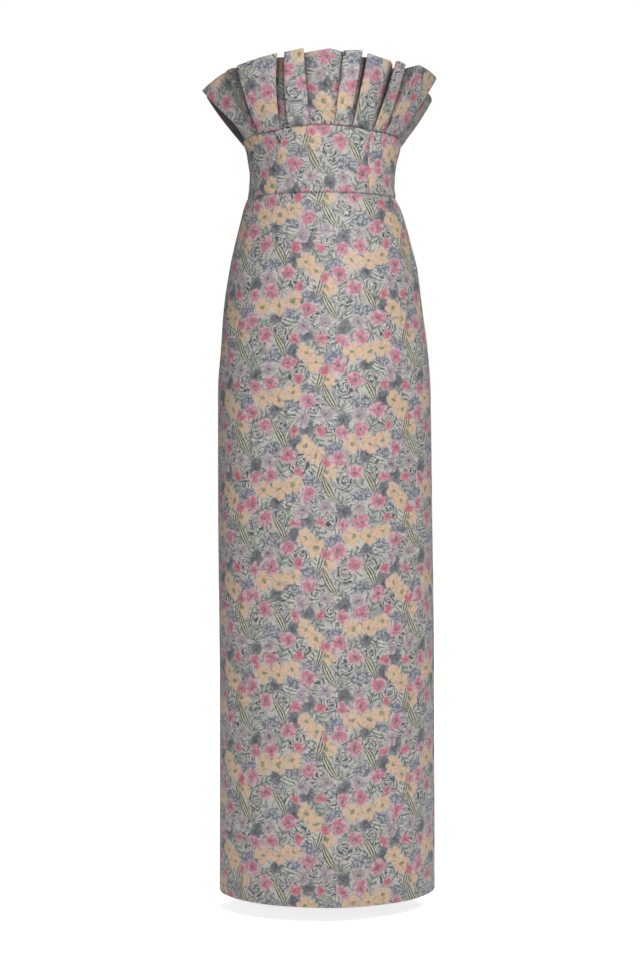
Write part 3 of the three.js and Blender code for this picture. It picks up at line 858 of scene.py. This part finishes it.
def floral_print():
    """The whole half-drop print: a pen-drawn ground, and motifs laid over it kind by kind."""
    group, draft, given, result = node_group(
        "floral_print", [("Cloth", "Vector")], [("Color", "Color")]
    )
    stamp, bloom, rose = stamp_group(), bloom_group(), rose_group()
    leaf, sprig = leaf_group(), sprig_group()
    cloth = given["Cloth"]
    slow = draft.vector("SUBTRACT", draft.noise(cloth, 70.0, out=1), (0.5, 0.5, 0.5))
    fast = draft.vector("SUBTRACT", draft.noise(cloth, 330.0, out=1), (0.5, 0.5, 0.5))
    steady = draft.vector("MULTIPLY_ADD", fast, (0.0022, 0.0022, 0), cloth)
    drawn = draft.vector("MULTIPLY_ADD", slow, (0.011, 0.011, 0), cloth)
    drawn = draft.vector("MULTIPLY_ADD", fast, (0.0036, 0.0036, 0), drawn)
    grain = draft.noise(cloth, 120.0, 2.0)

    def on_lattice(place):
        column, _, _ = draft.parts(place)
        return draft.point(column, draft.vector("DOT_PRODUCT", place, (-HALF_DROP, 1, 0), out=1))

    lattices = {True: on_lattice(steady), False: on_lattice(drawn)}

    def nearest(kind):
        best, distance, tone = (0.0, 0.0, 0.0), 9.0, 0.0
        lattice = lattices[kind in ("leaf", "sprig", "frond")]
        for motif in MOTIFS:
            if motif["kind"] != kind:
                continue
            x, y = motif["x"] * MM, motif["y"] * MM
            cos, sin = math.cos(motif["turn"] * RAD), math.sin(motif["turn"] * RAD)
            long, wide = motif["long"] * MM, motif["wide"] * MM
            best, distance, tone = draft.use(
                stamp,
                Cloth=lattice,
                Centre=(x, y - HALF_DROP * x, 0),
                Across=((cos + HALF_DROP * sin) / long, sin / long, 0),
                Up=((HALF_DROP * cos - sin) / wide, cos / wide, 0),
                Best=best,
                Distance=distance,
                Tone=tone,
                **{"Own Tone": motif["tone"]},
            )
        return best, distance, tone

    def lay(colour, motif):
        return draft.dye(motif["Mask"], colour, motif["Color"])

    # Ground: soft patches under pen lines that follow the heights of a slow unevenness
    patch = draft.noise(cloth, 30.0, 1.0)
    other = draft.noise(draft.vector("ADD", cloth, (3.1, 1.7, 0)), 22.0, 1.0)
    colour = draft.dye(draft.band(patch, 0.38, 0.62), ink((184, 183, 176)), ink((150, 150, 147)))
    colour = draft.dye(draft.band(other, 0.5, 0.64), colour, ink((188, 174, 170)))
    best, _, _ = nearest("frond")
    light, dark = ink((196, 196, 186)), ink((130, 133, 128))
    fronds = draft.use(leaf, Place=best, Veins=13.0, Light=light, Dark=dark)
    colour = lay(colour, fronds)
    contour = draft.noise(steady, 27.0, 1.0)
    pen = draft.math("PINGPONG", draft.times(contour, 13.0), 1.0)
    pen = draft.times(draft.band(pen, 0.0, 0.42, 0.9, 0.0), draft.band(grain, 0.36, 0.56))
    light_pen = draft.math("PINGPONG", draft.scaled(contour, 13.0, 0.6), 1.0)
    light_pen = draft.band(light_pen, 0.0, 0.4, 0.45, 0.0)
    pale_ink, pen_ink = ink((208, 206, 199)), ink((82, 82, 83))
    colour = draft.dye(light_pen, colour, pale_ink)
    colour = draft.dye(pen, colour, pen_ink)

    best, distance, tone = nearest("rose")
    roses = draft.use(
        rose,
        Place=best,
        Distance=distance,
        Tone=tone,
        Grain=grain,
        Light=ink((204, 203, 197)),
        Shade=ink((138, 140, 139)),
        Line=ink((68, 70, 73)),
    )
    colour = lay(colour, roses)

    floret = draft.add(
        "ShaderNodeTexVoronoi",
        {"Vector": drawn, "Scale": 190.0, "Randomness": 0.8},
        voronoi_dimensions="2D",
        feature="F1",
    )
    best, distance, tone = nearest("cluster")
    head = draft.dye(draft.band(floret, 0.12, 0.55), ink((180, 181, 186)), ink((106, 109, 118)))
    head = draft.dye(draft.band(tone, 0.3, 0.7), head, draft.dye(0.28, head, ink((126, 120, 146))))
    around = draft.scaled(floret, 0.25, distance)
    colour = draft.dye(draft.band(around, 0.98, 1.06, 1.0, 0.0), colour, head)

    def with_blooms(colour, kind):
        best, distance, tone = nearest(kind)
        dyes = next(row for row in BLOOMS if row["kind"] == kind)
        blooms = draft.use(
            bloom,
            Place=best,
            Distance=distance,
            Petals=dyes["petals"],
            Tone=tone,
            Grain=grain,
            Heart=ink(dyes["heart"]),
            Petal=ink(dyes["petal"]),
            Rim=ink(dyes["rim"]),
            Line=ink(dyes["line"]),
        )
        return lay(colour, blooms)

    colour = with_blooms(colour, "slate")
    colour = with_blooms(colour, "mauve")

    best, _, _ = nearest("sprig")
    sprigs = draft.use(
        sprig,
        Place=best,
        Light=ink((178, 183, 174)),
        Dark=ink((132, 140, 132)),
        Line=ink((98, 104, 98)),
    )
    colour = lay(colour, sprigs)
    colour = with_blooms(colour, "peach")
    best, _, _ = nearest("leaf")
    light, dark = ink((194, 192, 174)), ink((92, 92, 78))
    leaves = draft.use(leaf, Place=best, Veins=10.5, Light=light, Dark=dark)
    colour = lay(colour, leaves)
    colour = with_blooms(colour, "pink")
    colour = with_blooms(colour, "coral")

    colour = draft.dye(draft.times(pen, 0.25), colour, pen_ink)
    colour = draft.dye(draft.times(light_pen, 0.2), colour, pale_ink)
    group.links.new(colour, result["Color"])
    return group


def new_look(name, **values):
    """A material, its shader and a draft of its nodes."""
    look = bpy.data.materials.new(name)
    look.use_nodes = True
    shader = look.node_tree.nodes["Principled BSDF"]
    for socket, value in values.items():
        shader.inputs[socket.replace("_", " ")].default_value = value
    return look, shader, Draft(look.node_tree)


# Threads of the cloth and of the tape, and the stitches that hold the tape, in metres
THREAD = 0.0007
TAPE_RIB = 0.0009
TAPE_PICK = 0.0006
STITCH = 0.0025
STITCH_LINE = 0.0095


def cloth_weave():
    """Threads of a fine crossed weave, as heights from 0 to 1, and slubs along them."""
    group, draft, given, result = node_group(
        "cloth_weave", [("Cloth", "Vector")], [("Height", "Float"), ("Slub", "Float")]
    )
    across, up, _ = draft.parts(given["Cloth"])
    warp = draft.sine(draft.times(across, 2 * math.pi / THREAD))
    weft = draft.sine(draft.times(up, 2 * math.pi / THREAD))
    crossing = draft.times(warp, weft)
    height = draft.scaled(crossing, 0.25, 0.5)
    long_threads = draft.vector("MULTIPLY", given["Cloth"], (900, 90, 0))
    slub = draft.noise(long_threads, 1.0, 1.0)
    cross_threads = draft.vector("MULTIPLY", given["Cloth"], (90, 900, 0))
    slub = draft.plus(slub, draft.noise(cross_threads, 1.0, 1.0))
    group.links.new(draft.scaled(slub, 0.3, height), result["Height"])
    group.links.new(slub, result["Slub"])
    return group


def cloth_look(name, pattern, weave, dulling, undyed, roughness, sheen):
    """The print seen on one side of the cloth, with shade painted into its colour: a point attribute,
    from 0 to 1, darkens it in folds and between them, under overhangs and along seams."""
    look, shader, draft = new_look(name, Sheen_Weight=sheen, Sheen_Roughness=0.45)
    place = draft.add("ShaderNodeUVMap", uv_map="Cloth")
    colour = draft.use(pattern, Cloth=place)["Color"]
    colour = draft.dye(dulling, colour, ink(undyed))
    threads = draft.use(weave, Cloth=place)
    thickness = draft.band(threads["Slub"], 0.6, 1.4, 0.9, 1.1)
    lit = draft.add("ShaderNodeHueSaturation", {4: colour, 2: thickness})
    # Painted shade: the point attribute darkens the cloth towards a dark plum in folds, under
    # overhangs, along seams and on the turned-in allowance
    painted_shade_share = draft.add("ShaderNodeAttribute", attribute_name="PaintedShade", out=2)
    lit = draft.dye(painted_shade_share, lit, ink((42, 36, 40)))
    link = look.node_tree.links.new
    link(lit, shader.inputs["Base Color"])
    nap = draft.band(threads["Slub"], 0.6, 1.4, roughness - 0.05, roughness + 0.08)
    link(nap, shader.inputs["Roughness"])
    relief = {"Height": threads["Height"], "Strength": 0.25, "Distance": 0.0002}
    raised = draft.add("ShaderNodeBump", relief)
    link(raised, shader.inputs["Normal"])
    return look


def tape_look():
    """Close-woven zip tape with ribs along it and a row of stitches near each edge."""
    look, shader, draft = new_look("zip_tape", Roughness=0.8, Sheen_Weight=0.2)
    place = draft.add("ShaderNodeTexCoord", out=3)
    across, _, up = draft.parts(place)
    ribs = draft.sine(draft.times(across, 2 * math.pi / TAPE_RIB))
    picks = draft.sine(draft.times(up, 2 * math.pi / TAPE_PICK))
    woven = draft.scaled(draft.times(ribs, picks), 0.5, 0.5)
    shade = draft.noise(draft.vector("MULTIPLY", place, (60, 60, 12)), 1.0, 2.0)
    colour = draft.dye(draft.band(shade, 0.3, 0.7), ink((104, 100, 106)), ink((124, 119, 124)))
    colour = draft.dye(draft.times(woven, 0.25), colour, ink((82, 79, 86)))
    aside = draft.less(draft.size(across), STITCH_LINE)
    row = draft.band(draft.size(aside), 0.0002, 0.0004, 1.0, 0.0)
    dash = draft.band(draft.sine(draft.times(up, 2 * math.pi / STITCH)), -0.6, -0.3)
    colour = draft.dye(draft.times(row, dash), colour, ink((176, 172, 172)))
    look.node_tree.links.new(colour, shader.inputs["Base Color"])
    raised = draft.add("ShaderNodeBump", {"Height": woven, "Strength": 0.3, "Distance": 0.0002})
    look.node_tree.links.new(raised, shader.inputs["Normal"])
    return look


def metal_look():
    """Enamelled metal of the slider, pull tab and teeth, with rubbed places and fine scratches."""
    look, shader, draft = new_look("zip_metal", Metallic=0.85, Coat_Weight=0.25, Coat_Roughness=0.2)
    place = draft.add("ShaderNodeTexCoord", out=3)
    rubbed = draft.add("ShaderNodeTexNoise", {"Vector": place, "Scale": 260.0, "Detail": 3.0})
    fine = draft.vector("MULTIPLY", place, (5200, 5200, 340))
    scratch = draft.add("ShaderNodeTexNoise", {"Vector": fine, "Scale": 1.0, "Detail": 2.0})
    colour = draft.dye(draft.band(rubbed, 0.4, 0.68), ink((122, 119, 124)), ink((160, 157, 158)))
    colour = draft.dye(draft.band(scratch, 0.58, 0.7, 0.0, 0.35), colour, ink((92, 90, 96)))
    link = look.node_tree.links.new
    link(colour, shader.inputs["Base Color"])
    link(draft.band(rubbed, 0.3, 0.7, 0.38, 0.24), shader.inputs["Roughness"])
    raised = draft.add("ShaderNodeBump", {"Height": scratch, "Strength": 0.12, "Distance": 0.0001})
    link(raised, shader.inputs["Normal"])
    return look


pattern, weave = floral_print(), cloth_weave()
cloth_face = cloth_look("floral_cloth", pattern, weave, 0.03, (128, 124, 120), 0.56, 0.12)
wrong_side = (196, 190, 182)
cloth_back = cloth_look("floral_cloth_wrong_side", pattern, weave, 0.66, wrong_side, 0.7, 0.06)
zip_looks = {"zip_tape": tape_look(), "zip_slider": metal_look()}
zip_looks["zip_pull_tab"] = zip_looks["zip_slider"]
for node, look in zip_looks.items():
    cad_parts[node].material_slots[0].material = look


def dress(piece, node):
    """The piece stands for its node and goes with the gown."""
    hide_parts(node)
    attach(piece, "gown")


# Rows of points up a panel
BODICE_ROWS = 26
SKIRT_ROWS = 150


def bodice_panel(start, end, columns, shift):
    return body_panel(
        start,
        end,
        fixed(SEAM_GAP / 2),
        lambda angle: top_seam_at(angle) - SEAM_GAP / 2,
        BODICE_ROWS,
        columns,
        [fixed(0), top_seam_at],
        shift,
    )


def skirt_panel(start, end, columns, shift):
    return body_panel(
        fixed(start),
        fixed(end),
        fixed(-HEM_DROP),
        fixed(-SEAM_GAP / 2),
        SKIRT_ROWS,
        columns,
        [fixed(0)],
        shift,
    )


PANELS = {
    "bodice_back_left": bodice_panel(fixed(-CENTRE_BACK), fixed(-SIDE_SEAM), 34, (20, 40)),
    "bodice_side_front_left": bodice_panel(fixed(-SIDE_SEAM), princess(-1), 22, (-61, 24)),
    "bodice_front_centre": bodice_panel(princess(-1), princess(1), 34, (24, 61)),
    "bodice_side_front_right": bodice_panel(princess(1), fixed(SIDE_SEAM), 22, (48, -31)),
    "bodice_back_right": bodice_panel(fixed(SIDE_SEAM), fixed(CENTRE_BACK), 34, (-35, 12)),
    "skirt_back_left": skirt_panel(-CENTRE_BACK, -SIDE_SEAM, 54, (37, 22)),
    "skirt_front": skirt_panel(-SIDE_SEAM, SIDE_SEAM, 88, (0, 0)),
    "skirt_back_right": skirt_panel(SIDE_SEAM, CENTRE_BACK, 54, (-52, 22)),
}
for name, (grid, places, painted_shades) in PANELS.items():
    piece = cloth_piece(name + "_cloth", grid, places, painted_shades)
    dress(piece, name)

strip, strip_places, strip_painted_shades = pleated_strip()
stations_per_fold = BEND_STEPS + PANEL_STEPS
cut = PANEL_STEPS + 2 * BACK_PLEATS["count"] * stations_per_fold
last = len(strip[0]) - 1
RUFFLE_PIECES = {
    "ruffle_back_left": (0, cut),
    "ruffle_front": (cut, last - cut),
    "ruffle_back_right": (last - cut, last),
}
for name, (first, final) in RUFFLE_PIECES.items():
    grid = [row[first : final + 1] for row in strip]
    places = [row[first : final + 1] for row in strip_places]
    painted_shades = [row[first : final + 1] for row in strip_painted_shades]
    piece = cloth_piece(name + "_cloth", grid, places, painted_shades)
    dress(piece, name)


TOOTH = {"width": 3.4, "depth": 0.9, "height": 1.1, "edge": 0.25, "pitch": 1.9, "top": 70, "in": 2.95}


def tooth_place(height):
    return ring_point(section_at(height), CENTRE_BACK, -TOOTH["in"], height) * MM


def zip_teeth():
    """One tooth, copied down the inner face of the tape from the slider to its foot."""
    bpy.ops.object.select_all(action="DESELECT")
    bpy.ops.mesh.primitive_cube_add(size=MM, location=(0, 0, 0))
    tooth = bpy.context.object
    bpy.ops.transform.resize(value=(TOOTH["width"], TOOTH["depth"], TOOTH["height"]))
    bpy.ops.object.transform_apply(location=True, rotation=True, scale=True)
    edges = tooth.modifiers.new("edges", "BEVEL")
    edges.width = TOOTH["edge"] * MM
    edges.segments = 1
    bpy.ops.object.modifier_apply(modifier="edges")
    tooth.data.materials.append(zip_looks["zip_slider"])
    count = int((TOOTH["top"] - ZIP_FOOT) / TOOTH["pitch"])
    for k in range(count):
        height = TOOTH["top"] - k * TOOTH["pitch"]
        copy = bpy.data.objects.new("zip_tooth", tooth.data.copy())
        copy.location = tooth_place(height)
        bpy.context.scene.collection.objects.link(copy)
        copy.select_set(True)
    tooth.location = tooth_place(ZIP_FOOT)
    tooth.select_set(True)
    bpy.context.view_layer.objects.active = tooth
    bpy.ops.object.join()
    bpy.ops.object.transform_apply(location=True, rotation=True, scale=True)
    tooth.name = "zip_teeth"
    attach(tooth, "gown")


zip_teeth()

WHITE = (1, 1, 1, 1)
BLACK = (0, 0, 0, 1)
SKY = (0.97, 0.98, 1, 1)
SKY_STRENGTH = 0.15

# Camera: its place in metres, how far it looks down in degrees, and its film and lens in millimetres
CAMERA_PLACE = (-0.0051, -3.0, -0.391)
CAMERA_DIP = 1.589
FILM = 36
LENS = 66.26

# Floor: its height, its width, and its glow near the gown and far from it
FLOOR_HEIGHT = -1.2
FLOOR_WIDTH = 12
GLOW = {"near": 0.4, "far": 1.5, "least": 0.78, "most": 1.0}


def studio():
    """Camera at the photo's viewing angle, soft light and a plain pale floor."""
    scene = bpy.context.scene
    eye = bpy.data.cameras.new("camera")
    eye.sensor_width = FILM
    eye.lens = LENS
    camera = bpy.data.objects.new("camera", eye)
    camera.location = CAMERA_PLACE
    camera.rotation_euler = (math.radians(90 - CAMERA_DIP), 0, 0)
    scene.collection.objects.link(camera)
    scene.camera = camera
    scene.view_settings.view_transform = "Standard"
    world = bpy.data.worlds.new("studio")
    world.use_nodes = True
    scene.world = world
    nodes, links = world.node_tree.nodes, world.node_tree.links
    light, backdrop = nodes["Background"], nodes.new("ShaderNodeBackground")
    light.inputs["Color"].default_value = SKY
    light.inputs["Strength"].default_value = SKY_STRENGTH
    backdrop.inputs["Color"].default_value = WHITE
    seen = nodes.new("ShaderNodeLightPath")
    either = nodes.new("ShaderNodeMixShader")
    links.new(seen.outputs["Is Camera Ray"], either.inputs[0])
    links.new(light.outputs[0], either.inputs[1])
    links.new(backdrop.outputs[0], either.inputs[2])
    links.new(either.outputs[0], nodes["World Output"].inputs["Surface"])
    lamps = table(
        ("name", "place", "aim", "size", "power"),
        ("key", (0.9, -2.6, 1.3), (0, 0, -0.35), 0.9, 59),
        ("fill", (-0.7, -3.1, -0.4), (0, 0, -0.7), 1.6, 19),
        ("back", (0.4, 2.6, 1.2), (0, 0, -0.3), 1.6, 66),
    )
    for row in lamps:
        lamp = bpy.data.lights.new(row["name"], "AREA")
        lamp.shape = "DISK"
        lamp.size = row["size"]
        lamp.energy = row["power"]
        holder = bpy.data.objects.new(row["name"], lamp)
        holder.location = row["place"]
        facing = Vector(row["aim"]) - Vector(row["place"])
        holder.rotation_euler = facing.to_track_quat("-Z", "Y").to_euler()
        scene.collection.objects.link(holder)
    bpy.ops.object.select_all(action="DESELECT")
    bpy.ops.mesh.primitive_plane_add(size=FLOOR_WIDTH, location=(0, 0, FLOOR_HEIGHT))
    floor = bpy.context.object
    floor.name = "floor"
    pale, shader, draft = new_look("floor", Roughness=0.8, Emission_Strength=1, Base_Color=WHITE)
    away = draft.vector("LENGTH", draft.add("ShaderNodeTexCoord", out=3), out=1)
    glow = draft.band(away, GLOW["near"], GLOW["far"], GLOW["least"], GLOW["most"])
    glow = draft.times(draft.add("ShaderNodeLightPath"), glow)
    pale.node_tree.links.new(draft.dye(glow, BLACK, WHITE), shader.inputs["Emission Color"])
    floor.data.materials.append(pale)


studio()
